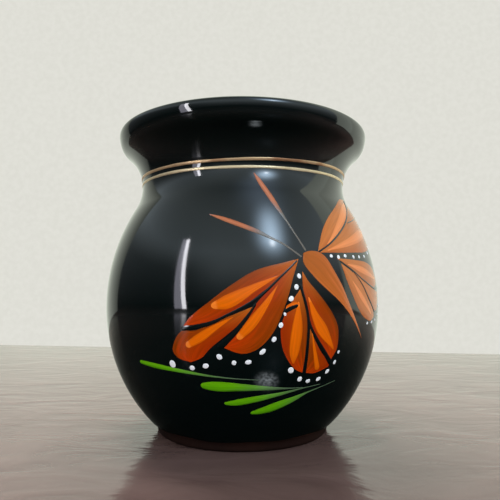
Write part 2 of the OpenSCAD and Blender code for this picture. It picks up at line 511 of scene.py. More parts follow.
for vertex in footRing.data.vertices:
    inward = clayFoot["outOfRound"] * (1 + math.sin(clayFoot["roundWaves"] * turnOf(vertex.co) + 1))
    if vertex.co.z > edge:
        inward += clayFoot["trimDepth"] * abs(math.sin(vertex.co.z * clayFoot["trimTurns"]))
    moveOut(vertex, -inward)
smoothPiece(footRing, angle=50.0)
print("foot turned")

# clear glaze over the clay inside, with the finger marks left from forming
insideGlaze = {
    "steps": 144,
    "linePoints": (2, 24, 26, 30, 10, 16),    # at the mouth, neck, shoulder, belly, corner and floor
    "corner": 6.0 * mm,
    "thick": 0.2 * mm,
    "fingerMarks": 0.22 * mm,
    "markTurns": 900,    # up the wall, in radians a metre
    "floorTurns": 1100,
    "markFade": 8.0 * mm,
}
floorHeight = footHeight + mugShape["floorThick"]
corner = insideGlaze["corner"]
cornerRise = bellyHeight - floorHeight - corner
cornerReach = math.sqrt((lowerArc - wallThick - corner) ** 2 - cornerRise ** 2)
cornerCentre = (lowerCentre[0] + cornerReach, floorHeight + corner)
cornerTurn = math.degrees(math.atan2(cornerRise, cornerReach))
linePoints = insideGlaze["linePoints"]
linerOutline = arcPoints(mouthCentre, mugShape["mouthHollow"], -coatEndTurn, -mouthTurn, linePoints[0])
for centre, radius, start, end, count in (
    (neckCentre, neckHollow + wallThick, 180 - mouthTurn, 180 + shoulderTurn, linePoints[1]),
    (shoulderCentre, shoulderArc - wallThick, shoulderTurn, 0, linePoints[2]),
    (lowerCentre, lowerArc - wallThick, 0, -cornerTurn, linePoints[3]),
    (cornerCentre, corner, -cornerTurn, -90, linePoints[4]),
):
    linerOutline += arcPoints(centre, radius, start, end, count)[1:]
floorSteps = linePoints[5]
linerOutline += [
    (cornerCentre[0] * (1 - step / floorSteps), floorHeight) for step in range(1, floorSteps + 1)
]
glazeLiner = spinOutline("inside_glaze", linerOutline, insideGlaze["steps"])
cleanMesh(glazeLiner, lambda point: -fromAxis(point))
for vertex in glazeLiner.data.vertices:
    turn = turnOf(vertex.co)
    reach = math.hypot(vertex.co.x, vertex.co.y)
    if vertex.co.z > floorHeight + corner:
        mark = 0.5 + 0.5 * math.sin(vertex.co.z * insideGlaze["markTurns"] + turn)
        mark *= min(1.0, (vertex.co.z - floorHeight - corner) / insideGlaze["markFade"])
        mark *= min(1.0, max(0.0, (neckHeight - vertex.co.z) / insideGlaze["markFade"]))
        moveOut(vertex, -insideGlaze["fingerMarks"] * mark)
    elif reach < cornerCentre[0]:
        mark = 0.5 - 0.5 * math.cos(reach * insideGlaze["floorTurns"] + turn)
        vertex.co.z += insideGlaze["fingerMarks"] * mark * (1 - reach / cornerCentre[0])
thicken(glazeLiner, insideGlaze["thick"])
smoothPiece(glazeLiner)
print("inside glazed")


# brush painting: each stroke is a thin patch of paint laid on the round of the mug
brushWork = {
    "along": 40,
    "petalAcross": 8,
    "strokeAcross": 6,
    "thick": 0.05 * mm,
    "degreeWide": 0.8,    # about how many millimetres of the belly a degree spans
    "capShare": 0.4,    # most of a stroke that its round end may take
    "lookAhead": 0.01,
    "petalLift": (0.02, 0.05),    # millimetres off the coat, at the edge and in the middle
    "strokeLift": (0.02, 0.06),
    "lightLift": (0.055, 0.08),
    "veinLift": (0.06, 0.12),
    "bodyLift": (0.05, 0.13),
}


def spanOf(start, end):
    return math.hypot((end[0] - start[0]) * brushWork["degreeWide"], end[1] - start[1])


def curveAt(points, share):
    # a smooth line through the given points, by its length
    lengths = [0.0]
    for start, end in zip(points, points[1:]):
        lengths.append(lengths[-1] + spanOf(start, end))
    target = share * lengths[-1]
    index = 0
    while index < len(points) - 2 and lengths[index + 1] < target:
        index += 1
    span = lengths[index + 1] - lengths[index]
    part = (target - lengths[index]) / span
    values = []
    for axis in range(len(points[0])):
        before = max(0, index - 1)
        after = min(len(points) - 1, index + 2)
        start, end = points[index][axis], points[index + 1][axis]
        slopeStart = (end - points[before][axis]) / (lengths[index + 1] - lengths[before]) * span
        slopeEnd = (points[after][axis] - start) / (lengths[after] - lengths[index]) * span
        square, cube = part * part, part * part * part
        value = (2 * cube - 3 * square + 1) * start + (cube - 2 * square + part) * slopeStart
        value += (3 * square - 2 * cube) * end + (cube - square) * slopeEnd
        values.append(value)
    return values


def layPaint(name, place, lifts, across):
    deselectAll()
    bpy.ops.mesh.primitive_grid_add(
        x_subdivisions=brushWork["along"], y_subdivisions=across, size=1, location=(0, 0, 0)
    )
    patch = bpy.context.object
    namePiece(patch, name)
    edgeLift, crownLift = lifts
    for vertex in patch.data.vertices:
        share = 0.5 - 0.5 * math.cos(math.pi * (vertex.co.x + 0.5))
        side = 2 * vertex.co.y
        degrees, up = place(share, side)
        lift = edgeLift + (crownLift - edgeLift) * (1 - side ** 4)
        vertex.co = onBody(math.radians(degrees), up * mm, lift * mm)
    cleanMesh(patch, fromAxis)
    thicken(patch, brushWork["thick"])
    return patch


def petal(name, firstEdge, secondEdge, lift="petalLift"):
    def place(share, side):
        first = curveAt(firstEdge, share)
        second = curveAt(secondEdge, share)
        mix = 0.5 + 0.5 * side
        return first[0] + (second[0] - first[0]) * mix, first[1] + (second[1] - first[1]) * mix
    return layPaint(name, place, brushWork[lift], brushWork["petalAcross"])


def brushStroke(name, spine, lift):
    # spine points are degrees, height and width, the last two in millimetres
    reach = sum(spanOf(start, end) for start, end in zip(spine, spine[1:]))
    startCap, endCap = (min(brushWork["capShare"], point[2] / 2 / reach) for point in (spine[0], spine[-1]))

    def place(share, side):
        degrees, up, wide = curveAt(spine, share)
        before = curveAt(spine, max(0.0, share - brushWork["lookAhead"]))
        after = curveAt(spine, min(1.0, share + brushWork["lookAhead"]))
        radius, slope = outlineAt(up * mm)
        tilt = 1.0 / math.sqrt(1.0 + slope * slope)
        degreeSize = math.radians(1) * radius / mm
        east = (after[0] - before[0]) * degreeSize
        north = (after[1] - before[1]) / tilt
        length = math.hypot(east, north)
        if share < startCap:
            wide *= math.sqrt(max(0.0, 1 - (1 - share / startCap) ** 2))
        if 1 - share < endCap:
            wide *= math.sqrt(max(0.0, 1 - (1 - (1 - share) / endCap) ** 2))
        shift = max(0.0, wide) / 2 * side
        return degrees - north / length * shift / degreeSize, up + east / length * shift * tilt
    return layPaint(name, place, brushWork[lift], brushWork["strokeAcross"])


def joinPatches(name, patches):
    deselectAll()
    for patch in patches:
        patch.select_set(True)
    bpy.context.view_layer.objects.active = patches[0]
    bpy.ops.object.join()
    piece = bpy.context.object
    namePiece(piece, name)
    smoothPiece(piece)
    return piece


def petalSet(name, cells):
    return joinPatches(name, [petal(key, *edges) for key, edges in cells.items()])


def strokeSet(name, spines, lift="strokeLift"):
    return joinPatches(name, [brushStroke("stroke", spine, lift) for spine in spines])


# butterfly and leaves: points are degrees round the mug, millimetres up it and a stroke's width
wingCells = {
    "foreUpper": (
        [(19.5, 57), (14.5, 56), (4, 53.6), (-5, 49), (-10.5, 45.5), (-17.5, 41), (-20, 38.4)],
        [(19.5, 57), (11.3, 51), (6, 47.6), (1, 44.5), (-5, 41.9), (-11, 39.9), (-20, 38.4)],
    ),
    "foreTip": (
        [(3.5, 44), (-5, 41.1), (-11.5, 38.8), (-16, 37.4), (-21, 37),
         (-24.5, 32), (-22.5, 29.7), (-18, 28.7)],
        [(3.5, 44), (-2, 38.6), (-6.5, 35.5), (-11, 32.5), (-14, 30), (-18, 28.7)],
    ),
    "foreInner": (
        [(19.5, 57), (17, 51.8), (14.8, 46.2), (12.7, 41.6), (10.6, 37.8),
         (7.7, 34.5), (4, 32.1), (-0.5, 31.3), (-6.6, 33)],
        [(19.5, 57), (11.3, 50.5), (4, 44.4), (1, 39.8), (-2.5, 36.5), (-6.6, 33)],
    ),
    "hindLeft": (
        [(19.3, 48.6), (20.5, 45), (21.6, 41), (22, 36), (22, 25.4)],
        [(19.3, 48.6), (15.7, 44.6), (13.6, 41.4), (12.5, 37.9), (12.8, 34.4),
         (14, 31.3), (16.6, 28.1), (19.2, 26.3), (22, 25.4)],
    ),
    "hindMiddle": (
        [(23, 38), (22.8, 33), (22.6, 25.4)],
        [(23, 38), (24.6, 35.2), (28, 31.2), (32.7, 27), (30, 25.9), (26.4, 25.1), (22.6, 25.4)],
    ),
    "hindRight": (
        [(20.5, 53.6), (22.6, 50.8), (25.8, 47.9), (29.2, 44.7), (32.5, 41.3),
         (34.8, 37.8), (35.4, 34.8), (35.2, 31.6), (33, 28.4)],
        [(20.5, 53.6), (20.4, 49), (21.6, 44.6), (22.8, 40.3), (24.6, 36.8), (28, 33), (33, 28.4)],
    ),
}
farCells = {
    "farUpper": (
        [(28, 59.2), (28.9, 61.2), (32.4, 66), (37.7, 70.3), (45.8, 74.3), (55, 77.8), (63, 78.6)],
        [(28, 59.2), (33.2, 61.5), (40.4, 65.1), (50, 70.2), (57, 74.1), (63, 78.6)],
    ),
    "farTip": (
        [(28.5, 59), (33.4, 61.2), (40.6, 64.7), (50.4, 69.8),
         (57.6, 73.8), (66, 76.6), (74, 76), (82, 73.5), (86, 69)],
        [(28.5, 59), (44, 59.6), (61.6, 60.8), (74, 63.5), (86, 69)],
    ),
    "farHindUpper": (
        [(36.4, 57.6), (46.5, 57.5), (58, 57), (66, 55), (71, 51)],
        [(36.4, 57.6), (44.6, 54.5), (51.3, 51.8), (62, 49.3), (71, 51)],
    ),
    "farHindMiddle": (
        [(44.9, 53.9), (51.3, 51.3), (61, 48.8), (70, 47.6)],
        [(44.5, 53.5), (50, 50.3), (55, 46), (61, 42), (67, 42.6), (70, 47)],
    ),
    "farHindInner": (
        [(38.3, 56.2), (44.2, 53.7), (49.4, 50.4), (54.4, 45.8), (59.7, 42), (61, 40)],
        [(38.3, 55.8), (40.6, 50.4), (44.7, 44.4), (48.3, 41.2), (51.7, 39.7), (57, 38.8), (61, 40)],
    ),
}
wingLights = [
    [(-10.3, 44, 1.3), (-5, 45.2, 3.7), (4, 49.1, 2.0), (12, 52.3, 0.2)],
    [(-19.2, 33.1, 1.6), (-14, 35.6, 2.5), (-8.8, 38.4, 1.6), (-3, 41.2, 0.1)],
    [(-1.7, 35.3, 1.6), (2.6, 39.2, 2.8), (7.3, 44.4, 1.8), (11.6, 49.8, 0.1)],
    [(18.6, 45.2, 0.4), (18.2, 38, 3.2), (17.6, 31.5, 2.8), (17.6, 28.2, 0.5)],
    [(23.8, 36.6, 0.1), (25.4, 31.5, 1.0), (27.7, 26, 1.7)],
    [(22.3, 46.4, 0.3), (24.6, 41.6, 2.2), (28, 37.2, 3.4), (33.6, 31.6, 0.5)],
    [(14.2, 43.1, 1.7), (16.4, 43.9, 2.0), (18.7, 44.6, 1.6)],
]
farLights = [
    [(33, 61.6, 0.3), (44, 68.5, 2.6), (53, 73.6, 3.0), (60, 77, 0.8)],
    [(32.5, 59.8, 0.3), (45, 62.6, 2.2), (62, 66.5, 3.4), (78, 69.5, 0.5)],
    [(42, 56, 0.3), (52, 54.5, 2.2), (66, 52, 0.6)],
    [(43.5, 51, 0.2), (49, 46.2, 2.0), (57, 41, 0.6)],
]
wingVeins = [
    [(18.9, 56.5, 0.45), (12.3, 51.7, 0.6), (6.5, 47.3, 0.7), (1, 44.2, 0.8),
     (-5, 41.6, 0.8), (-11.2, 39.2, 1.0), (-20.6, 37.8, 1.4)],
    [(4.2, 44.7, 0.6), (1.8, 41.5, 0.8), (-1.4, 37.9, 1.0), (-4.8, 35, 1.5), (-8, 32.8, 2.0)],
    [(19.4, 50, 0.6), (21.2, 44.6, 0.8), (22.3, 39.8, 0.9), (22.4, 34, 0.9), (22.3, 25, 1.2)],
    [(22.3, 39.8, 0.7), (24.5, 36.3, 0.9), (28.1, 32.4, 1.1), (33.4, 27.4, 1.5)],
    [(28.2, 59.3, 0.4), (33.4, 61.4, 0.5), (40.4, 64.9, 0.6),
     (50.2, 70, 0.6), (57.2, 74, 0.6), (64, 78.2, 0.5)],
    [(51, 69.4, 0.3), (60, 71.2, 0.35), (74, 73.6, 0.4)],
    [(38.2, 56.8, 0.35), (44.6, 54.2, 0.45), (51.3, 51.5, 0.5), (62, 49, 0.5), (72, 49, 0.5)],
    [(44.9, 53.8, 0.3), (49.8, 50.4, 0.4), (54.8, 46, 0.45), (61.5, 41.4, 0.45)],
    [(13.5, 42.4, 1.1), (15.6, 43.3, 1.25), (18.4, 44.2, 0.9)],
]
bodyEdges = (
    [(21.6, 58.7), (21.3, 56), (24.8, 52.2), (29.5, 48.8), (34.3, 45.9), (39.4, 42.4), (44.9, 37.9),
     (49.7, 33.8)],
    [(21.6, 58.7), (24.4, 59.4), (28, 59.2), (31, 57.8), (34.2, 53.8), (37.7, 49.1), (40.6, 44.5),
     (44.8, 39.2), (49.7, 33.8)],
)
feelerSpines = [
    [(22.8, 59.4, 0.5), (17, 67.8, 0.5), (15.4, 70, 0.9), (11.7, 75.1, 1.6), (7.5, 80.4, 1.3),
     (5, 83.2, 0.3)],
    [(20.8, 57.6, 0.5), (14.5, 61.1, 0.5), (9, 63.2, 0.8), (4.8, 64.8, 1.3), (-6.6, 68.2, 1.3),
     (-13, 69.9, 0.3)],
]
leafSpines = [
    [(-41, 27.6, 1.1), (-34, 27, 1.5), (-22, 26, 1.1), (-11.6, 25, 0.55),
     (-1.7, 24.3, 0.3), (6.2, 23.9, 0.15)],
    [(-15.3, 22.2, 1.3), (-12, 22.1, 2.6), (-7.5, 22, 3.0), (-1.8, 21.9, 2.4),
     (8.4, 21.5, 1.3), (16, 21.2, 0.5), (23, 21.1, 0.15)],
    [(-7, 17, 0.8), (-3.5, 17.2, 1.8), (0.5, 17.7, 2.1), (6.1, 18.5, 1.9),
     (14, 19.6, 1.1), (22.3, 20.8, 0.4), (30.5, 21.6, 0.15)],
    [(3.2, 14, 0.9), (6.5, 14.5, 1.9), (10.6, 15.3, 2.6), (14.8, 16.4, 2.6),
     (20.3, 17.9, 1.7), (26, 19.6, 0.5), (38, 22, 0.15)],
]
wingBase = petalSet("wing_cells", wingCells)
wingShine = strokeSet("wing_lights", wingLights, "lightLift")
farBase = petalSet("far_wing_cells", farCells)
farShine = strokeSet("far_wing_lights", farLights, "lightLift")
wingLines = strokeSet("wing_veins", wingVeins, "veinLift")
butterflyBody = petal("butterfly_body", *bodyEdges, "bodyLift")
smoothPiece(butterflyBody)
feelers = strokeSet("feelers", feelerSpines)
leaves = strokeSet("leaves", leafSpines)
print("butterfly and leaves painted")

# white dots, one modelled and the rest copied: degrees, height, width, stretch and lean in degrees
dotPlaces = [
    (-25.2, 27.9, 2.2, 1.07, 110), (-17.7, 27.1, 1.6, 1.05, 0), (-12.7, 27.8, 1.7, 1.12, 20),
    (-7.8, 30.4, 1.7, 1.08, 130), (-2.9, 28.8, 1.4, 1.04, 60), (1.9, 29, 1.6, 1.18, 12),
    (6.6, 31.8, 1.7, 1.28, 42), (10.3, 35.1, 1.5, 1.1, 60), (12.5, 38.9, 1.5, 1.1, 70),
    (13.8, 41.9, 1.0, 1.2, 100), (16, 46, 1.6, 1.08, 50), (18, 49.2, 1.5, 1.08, 80),
    (19.2, 52.2, 1.4, 1.12, 110), (17, 26.4, 1.9, 1.06, 120), (20.9, 23.7, 1.6, 1.06, 80),
    (24.5, 22.9, 1.4, 1.1, 20), (29, 23.2, 1.5, 1.22, 35), (32.5, 25.2, 1.4, 1.22, 45),
    (35.3, 27.7, 1.2, 1.2, 65), (36.4, 30.6, 1.0, 1.12, 80), (33.8, 58.2, 1.2, 1.05, 0),
    (37.5, 58, 1.3, 1.05, 60), (41.5, 58.5, 1.3, 1.1, 0), (47, 58.4, 1.25, 1.05, 120),
    (51.6, 58.6, 1.2, 1.05, 0), (57, 59, 1.2, 1.05, 0), (63.2, 60.4, 1.2, 1.05, 30),
    (70, 62.6, 1.2, 1.05, 30), (77, 65.2, 1.2, 1.05, 30), (84, 68.2, 1.2, 1.05, 30),
    (53.6, 38.2, 1.0, 1.15, 30), (58.4, 38.3, 1.05, 1.15, 20), (63, 38.8, 1.05, 1.15, 20),
    (67.2, 40.5, 1.05, 1.1, 30), (71, 43.2, 1.05, 1.1, 40),
]
dotShape = {
    "segments": 20,
    "rings": 10,
    "flatter": 0.8,    # than a ball
    "crown": 0.10 * mm,
    "lift": 0.03 * mm,
    "grow": 0.93,
    "halfStep": 0.5,
}
deselectAll()
bpy.ops.mesh.primitive_uv_sphere_add(
    segments=dotShape["segments"], ring_count=dotShape["rings"], radius=1, location=(0, 0, 0)
)
dotMaster = bpy.context.object
namePiece(dotMaster, "dot")
for vertex in dotMaster.data.vertices:
    vertex.co.z = math.copysign(abs(vertex.co.z) ** dotShape["flatter"], vertex.co.z)
dots = []
for degrees, up, wide, stretch, leanDegrees in dotPlaces:
    deselectAll()
    dot = dotMaster.copy()
    dot.data = dotMaster.data.copy()
    scene.collection.objects.link(dot)
    turn = math.radians(degrees)
    centre = onBody(turn, up * mm, dotShape["lift"])
    east = Vector((math.cos(turn), math.sin(turn), 0))
    above, below = (onBody(turn, (up + step) * mm) for step in (dotShape["halfStep"], -dotShape["halfStep"]))
    north = (above - below).normalized()
    out = east.cross(north)
    lean = math.radians(leanDegrees)
    width = wide * mm * dotShape["grow"]
    for vertex in dot.data.vertices:
        longWay = vertex.co.x * width / 2 * stretch
        shortWay = vertex.co.y * width / 2 / stretch
        x = longWay * math.cos(lean) - shortWay * math.sin(lean)
        y = longWay * math.sin(lean) + shortWay * math.cos(lean)
        vertex.co = centre + east * x + north * y + out * vertex.co.z * dotShape["crown"]
    dots.append(dot)
bpy.data.objects.remove(dotMaster, do_unlink=True)
whiteDots = joinPatches("white_dots", dots)
print("dots laid,", len(dotPlaces))


# materials: an input takes a number, a colour or another node's output
def feed(tree, node, values):
    for key, value in values.items():
        socket = node.inputs[key]
        if isinstance(value, bpy.types.NodeSocket):
            tree.links.new(value, socket)
        elif socket.type == "RGBA":
            socket.default_value = (*value, 1.0)
        else:
            socket.default_value = value


def addNode(tree, kind, values=None, settings=None):
    node = tree.nodes.new(kind)
    for key, value in (settings or {}).items():
        setattr(node, key, value)
    feed(tree, node, values or {})
    return node


def addRamp(tree, source, stops):
    ramp = addNode(tree, "ShaderNodeValToRGB", {"Fac": source})
    elements = ramp.color_ramp.elements
    while len(elements) < len(stops):
        elements.new(0.5)
    for element, (position, colour) in zip(elements, stops):
        element.position = position
        element.color = (*colour, 1.0)
    return ramp.outputs["Color"]


def addMix(tree, factor, first, second):
    mix = addNode(tree, "ShaderNodeMix", {0: factor, 6: first, 7: second}, {"data_type": "RGBA"})
    return mix.outputs[2]


def addMath(tree, operation, first, second):
    return addNode(tree, "ShaderNodeMath", {0: first, 1: second}, {"operation": operation}).outputs[0]


def addVectorMath(tree, operation, values):
    return addNode(tree, "ShaderNodeVectorMath", values, {"operation": operation}).outputs


def addRange(tree, source, start, end, low=0.0, high=1.0, smooth=False):
    values = {"Value": source, "From Min": start, "From Max": end, "To Min": low, "To Max": high}
    settings = {"interpolation_type": "SMOOTHSTEP" if smooth else "LINEAR"}
    return addNode(tree, "ShaderNodeMapRange", values, settings).outputs["Result"]


def addNoise(tree, place, scale, detail=3.0, roughness=0.5, distortion=0.0):
    noise = addNode(tree, "ShaderNodeTexNoise", {"Vector": place, "Scale": scale, "Detail": detail})
    feed(tree, noise, {"Roughness": roughness, "Distortion": distortion})
    return noise.outputs["Fac"]


def addSpecks(tree, place, scale, largest):
    # small spots, each in the middle of a cell and soft over half its reach
    cells = addNode(tree, "ShaderNodeTexVoronoi", {"Vector": place, "Scale": scale})
    return addRange(tree, cells.outputs["Distance"], largest, largest / 2)


def addBump(tree, height, strength, distance):
    bump = addNode(tree, "ShaderNodeBump", {"Height": height, "Strength": strength, "Distance": distance})
    return bump.outputs["Normal"]


def objectPlace(tree):
    return addNode(tree, "ShaderNodeTexCoord").outputs["Object"]


def splitPlace(tree, place):
    return addNode(tree, "ShaderNodeSeparateXYZ", {0: place}).outputs


plainFinish = {"Roughness": 0.5, "Metallic": 0.0, "Coat Weight": 0.0, "Coat Roughness": 0.05, "IOR": 1.5}


def newMaterial(name, finish):
    material = bpy.data.materials.new(name)
    material.use_nodes = True
    tree = material.node_tree
    shader = tree.nodes["Principled BSDF"]
    feed(tree, shader, {**plainFinish, **finish})
    return material, tree, shader


def newGroup(name, inputs, outputs):
    group = bpy.data.node_groups.new(name, "ShaderNodeTree")
    for label, value in inputs.items():
        socket = group.interface.new_socket(label, in_out="INPUT", socket_type="NodeSocketFloat")
        socket.default_value = value
    for label in outputs:
        kind = "NodeSocketVector" if label == "Normal" else "NodeSocketFloat"
        group.interface.new_socket(label, in_out="OUTPUT", socket_type=kind)
    return group, addNode(group, "NodeGroupInput").outputs, addNode(group, "NodeGroupOutput")


def useGroup(tree, group, values):
    return addNode(tree, "ShaderNodeGroup", values, {"node_tree": group}).outputs


# brush marks that run along a stroke, from its own UV map
driftScale = 60.0    # how fast the marks change from one place on the mug to another
brushMarks, marksIn, marksOut = newGroup(
    "brushMarks", {"Hairs": 12.0, "Runs": 1.5}, ("Marks", "Along", "Across")
)
coords = addNode(brushMarks, "ShaderNodeTexCoord").outputs
uvParts = splitPlace(brushMarks, coords["UV"])
spaceParts = splitPlace(brushMarks, coords["Object"])
drift = addMath(brushMarks, "ADD", spaceParts["X"], spaceParts["Z"])
joined = addNode(brushMarks, "ShaderNodeCombineXYZ", {
    0: addMath(brushMarks, "MULTIPLY", uvParts["X"], marksIn["Runs"]),
    1: addMath(brushMarks, "MULTIPLY", uvParts["Y"], marksIn["Hairs"]),
    2: addMath(brushMarks, "MULTIPLY", drift, driftScale),
})
feed(brushMarks, marksOut, {
    "Marks": addNoise(brushMarks, joined.outputs[0], 1.0, roughness=0.6),
    "Along": uvParts["X"],
    "Across": uvParts["Y"],
})

# uneven gloss and soft ripples of a fired or varnished coat
glossWaver = {
    "hazeScale": 45.0,
    "rippleScale": 210.0,
    "rippleDepth": 0.1 * mm,
    "hazeRange": (0.35, 0.7),
    "dustScale": 420.0,
    "dustSize": 0.10,
}
glossCoat, glossIn, glossOut = newGroup(
    "glossCoat", {"Low": 0.05, "High": 0.14, "Ripple": 0.05}, ("Roughness", "Normal", "Specks")
)
place = objectPlace(glossCoat)
haze = addNoise(glossCoat, place, glossWaver["hazeScale"], detail=4.0)
ripples = addNoise(glossCoat, place, glossWaver["rippleScale"], detail=2.0)
feed(glossCoat, glossOut, {
    "Roughness": addRange(glossCoat, haze, *glossWaver["hazeRange"], glossIn["Low"], glossIn["High"]),
    "Normal": addBump(glossCoat, ripples, glossIn["Ripple"], glossWaver["rippleDepth"]),
    "Specks": addSpecks(glossCoat, place, glossWaver["dustScale"], glossWaver["dustSize"]),
})


enamelFinish = {"tone": (0.0007, 0.0033, 0.0031), "dust": (0.009, 0.011, 0.011), "ior": 1.58}


def blackEnamel():
    material, tree, shader = newMaterial("blackEnamel", {"IOR": enamelFinish["ior"]})
    gloss = useGroup(tree, glossCoat, {"Low": 0.045, "High": 0.11, "Ripple": 0.03})
    tone = addMix(tree, gloss["Specks"], enamelFinish["tone"], enamelFinish["dust"])
    feed(tree, shader, {"Base Color": tone, "Roughness": gloss["Roughness"], "Normal": gloss["Normal"]})
    return material


# brush paints: colours from one side of the stroke to the other, at its tip and root, and how its hairs show
strokePaints = {
    "wingOrange": {
        "across": [
            (0.0, (0.26, 0.042, 0.0)), (0.4, (0.37, 0.046, 0.0)),
            (0.75, (0.40, 0.038, 0.0)), (1.0, (0.38, 0.028, 0.0)),
        ],
        "tip": (0.58, 0.045, 0.0), "tipFrom": (0.57, 0.92),
        "root": (0.54, 0.135, 0.01), "rootTo": (0.42, 0.06),
        "streak": 0.13, "hairs": 8.0, "runs": 1.4,
    },
    "wingLight": {
        "across": [
            (0.0, (0.66, 0.105, 0.0)), (0.2, (0.86, 0.155, 0.0)),
            (0.8, (0.84, 0.15, 0.0)), (1.0, (0.64, 0.10, 0.0)),
        ],
        "tip": (0.62, 0.10, 0.0), "tipFrom": (0.75, 1.0),
        "root": (0.98, 0.23, 0.02), "rootTo": (0.2, 0.16),
        "streak": 0.10, "hairs": 6.0, "runs": 1.4,
    },
    # the far wing's paints are paler and pinker than the near wing's, a painted sheen of the pale wall that
    # the wing mirrors where it turns away
    "farOrangeWithSheen": {
        "across": [(0.0, (0.56, 0.15, 0.02)), (0.5, (0.62, 0.175, 0.028)), (1.0, (0.50, 0.12, 0.018))],
        "tip": (0.66, 0.20, 0.045), "tipFrom": (0.6, 0.95),
        "streak": 0.10, "hairs": 7.0, "runs": 1.4,
    },
    "farLightWithSheen": {
        "across": [(0.0, (0.80, 0.22, 0.05)), (0.5, (0.95, 0.29, 0.075)), (1.0, (0.80, 0.23, 0.05))],
        "tip": (0.98, 0.33, 0.10), "tipFrom": (0.5, 0.9),
        "streak": 0.08, "hairs": 6.0, "runs": 1.4,
    },
    "bodyOrange": {
        "across": [
            (0.0, (0.66, 0.165, 0.03)), (0.12, (0.51, 0.125, 0.015)),
            (0.85, (0.50, 0.12, 0.015)), (1.0, (0.64, 0.16, 0.03)),
        ],
        "tip": (0.72, 0.20, 0.06), "tipFrom": (0.35, 0.8),
        "root": (0.43, 0.10, 0.004), "rootTo": (0.4, 0.15),
        "streak": 0.10, "hairs": 6.0, "runs": 1.8,
    },
    "feelerPaint": {
        "across": [(0.0, (0.40, 0.12, 0.045)), (0.5, (0.58, 0.19, 0.085)), (1.0, (0.36, 0.11, 0.04))],
        "tip": (0.26, 0.15, 0.13), "tipFrom": (0.82, 1.0),
        "root": (0.16, 0.14, 0.115), "rootTo": (0.58, 0.46),
        "streak": 0.15, "hairs": 6.0, "runs": 2.2,
    },
    "leafGreen": {
        "across": [
            (0.0, (0.055, 0.19, 0.002)), (0.3, (0.115, 0.42, 0.003)),
            (0.65, (0.155, 0.52, 0.003)), (1.0, (0.14, 0.41, 0.004)),
        ],
        "tip": (0.10, 0.155, 0.085), "tipFrom": (0.34, 0.72),
        "streak": 0.16, "hairs": 6.0, "runs": 1.8,
    },
}


strokeFinish = {"gloss": 0.13, "specular": 0.3, "wander": 0.5, "marks": (0.3, 0.7), "bump": 0.15}
hairDepth = 0.05 * mm    # of the marks that a brush leaves


def strokePaint(name):
    paint = strokePaints[name]
    finish = {"Roughness": strokeFinish["gloss"], "Specular IOR Level": strokeFinish["specular"]}
    material, tree, shader = newMaterial(name, finish)
    marks = useGroup(tree, brushMarks, {"Hairs": paint["hairs"], "Runs": paint["runs"]})
    wander = addMath(tree, "SUBTRACT", marks["Marks"], 0.5)
    wander = addMath(tree, "MULTIPLY", wander, strokeFinish["wander"])
    colour = addRamp(tree, addMath(tree, "ADD", marks["Across"], wander), paint["across"])
    along = addMath(tree, "ADD", marks["Along"], wander)
    colour = addMix(tree, addRange(tree, along, *paint["tipFrom"], smooth=True), colour, paint["tip"])
    if "root" in paint:
        colour = addMix(tree, addRange(tree, marks["Along"], *paint["rootTo"]), colour, paint["root"])
    streaks = (1 - paint["streak"], 1 + paint["streak"])
    streaks = addRange(tree, marks["Marks"], *strokeFinish["marks"], *streaks)
    feed(tree, shader, {
        "Base Color": addVectorMath(tree, "SCALE", {0: colour, "Scale": streaks})[0],
        "Normal": addBump(tree, marks["Marks"], strokeFinish["bump"], hairDepth),
    })
    return material


goldFinish = {
    "copperGold": {"bright": (0.66, 0.44, 0.24), "dull": (0.40, 0.19, 0.09), "worn": (0.50, 0.62)},
    "brightGold": {"bright": (0.78, 0.62, 0.38), "dull": (0.55, 0.37, 0.18), "worn": (0.58, 0.70)},
    "metal": 0.6,
    "grainScale": 900.0,
    "grainRange": (0.3, 0.7),
    "gloss": (0.28, 0.5),
    "bump": 0.2,
    "patchScale": 75.0,
}


def goldPaint(name):
    paint = goldFinish[name]
    material, tree, shader = newMaterial(name, {"Metallic": goldFinish["metal"]})
    place = objectPlace(tree)
    grain = addNoise(tree, place, goldFinish["grainScale"])
    wear = addRange(tree, addNoise(tree, place, goldFinish["patchScale"]), *paint["worn"])
    feed(tree, shader, {
        "Base Color": addMix(tree, wear, paint["bright"], paint["dull"]),
        "Roughness": addRange(tree, grain, *goldFinish["grainRange"], *goldFinish["gloss"]),
        "Normal": addBump(tree, grain, goldFinish["bump"], hairDepth),
    })
    return material


dotFinish = {
    "tones": [(0.3, (0.93, 0.95, 0.96)), (0.6, (1.0, 1.0, 1.0))],
    "stainScale": 380.0,
    "specular": 0.3,
}


def whitePaint():
    material, tree, shader = newMaterial("whiteDotPaint", {"Specular IOR Level": dotFinish["specular"]})
    gloss = useGroup(tree, glossCoat, {"Low": 0.3, "High": 0.45, "Ripple": 0.08})
    stain = addNoise(tree, objectPlace(tree), dotFinish["stainScale"])
    feed(tree, shader, {
        "Base Color": addRamp(tree, stain, dotFinish["tones"]),
        "Roughness": gloss["Roughness"],
        "Normal": gloss["Normal"],
    })
    return material


clayFinish = {
    # the bare foot is dark burnt clay, and its tones are darker still, a painted shade of the shadow at the
    # foot
    "shadedBareClay": {
        "tones": [(0.3, (0.010, 0.0037, 0.0024)), (0.7, (0.018, 0.0064, 0.004))],
        "sand": (0.0035, 0.0013, 0.00084),
        "sandScale": 560.0,
        "grainScale": 700.0,
        "gloss": 0.9,
    },
    "terracotta": {
        "tones": [(0.3, (0.034, 0.0125, 0.007)), (0.7, (0.06, 0.022, 0.012))],
        "sand": (0.0119, 0.0044, 0.00245),
        "sandScale": 480.0,
        "grainScale": 600.0,
        "gloss": 0.85,
    },
    "cloudScale": 60.0,
    "sandSize": 0.12,
    "specular": 0.12,
    "bump": 0.5,
    "grainDepth": 0.2 * mm,
}


